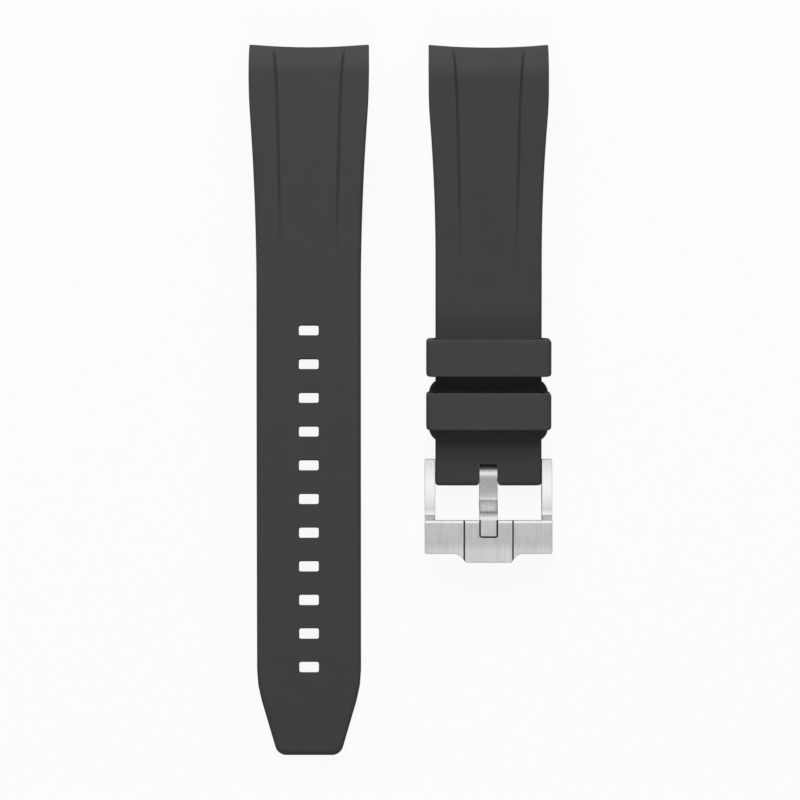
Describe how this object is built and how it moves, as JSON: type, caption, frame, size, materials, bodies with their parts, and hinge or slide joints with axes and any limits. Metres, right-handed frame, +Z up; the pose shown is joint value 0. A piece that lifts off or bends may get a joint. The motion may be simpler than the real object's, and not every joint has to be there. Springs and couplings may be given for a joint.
{
  "type": "rubber dive watch strap",
  "caption": "Two-piece curved-end rubber dive strap with adjustment holes, fixed and sliding keepers, and a steel thumb buckle with tongue and sprung hinge bar.",
  "frame": {"origin": "on the table under the middle of the whole set, bottom centre of its bounding box", "axes": "+Y along both straps towards their lug ends, +X across towards the buckle half, +Z up from the table through the straps' faces"},
  "size_m": [0.0506, 0.119, 0.0092],
  "materials": {
    "rubber_strap": "matte moulded black rubber",
    "rubber_keeper": "matte moulded black rubber",
    "frame_steel": "brushed stainless steel with polished arms",
    "tongue_steel": "brushed stainless steel",
    "bar_steel": "plain turned stainless steel"
  },
  "bodies": {
    "buckle_half": {"buckle_strap": "rubber_strap", "fixed_keeper": "rubber_keeper", "spring_bar_tube": "bar_steel", "spring_bar_spring": "bar_steel"},
    "tail_half": {"tail_strap": "rubber_strap"},
    "free_keeper": {"free_keeper": "rubber_keeper"},
    "frame": {"buckle_frame": "frame_steel"},
    "tongue": {"buckle_tongue": "tongue_steel"},
    "plunger_left": {"spring_bar_plunger_left": "bar_steel"},
    "plunger_right": {"spring_bar_plunger_right": "bar_steel"}
  },
  "joints": [
    {"name": "tail_lift", "type": "slide", "parent": "buckle_half", "child": "tail_half", "axis": [0, 0, 1], "range_m": [0, 0.05]},
    {"name": "keeper_slide", "type": "slide", "parent": "buckle_half", "child": "free_keeper", "axis": [0, 0.9982, 0.0593], "range_m": [-0.0005, 0.023]},
    {"name": "frame_swing", "type": "hinge", "parent": "buckle_half", "child": "frame", "pos_m": [0.01465, -0.01245, 0.00195], "axis": [-1, 0, 0], "range_deg": [-115, 30]},
    {"name": "tongue_lift", "type": "hinge", "parent": "frame", "child": "tongue", "pos_m": [0.01465, -0.01245, 0.00195], "axis": [-1, 0, 0], "range_deg": [0, 80]},
    {"name": "plunger_left_press", "type": "slide", "parent": "buckle_half", "child": "plunger_left", "axis": [1, 0, 0], "range_m": [0, 0.00135], "stiffness_N_per_m": 400, "springref_m": -0.001, "deforming": ["spring_bar_spring"]},
    {"name": "plunger_right_press", "type": "slide", "parent": "buckle_half", "child": "plunger_right", "axis": [-1, 0, 0], "range_m": [0, 0.00135], "stiffness_N_per_m": 400, "springref_m": -0.001, "deforming": ["spring_bar_spring"]}
  ]
}
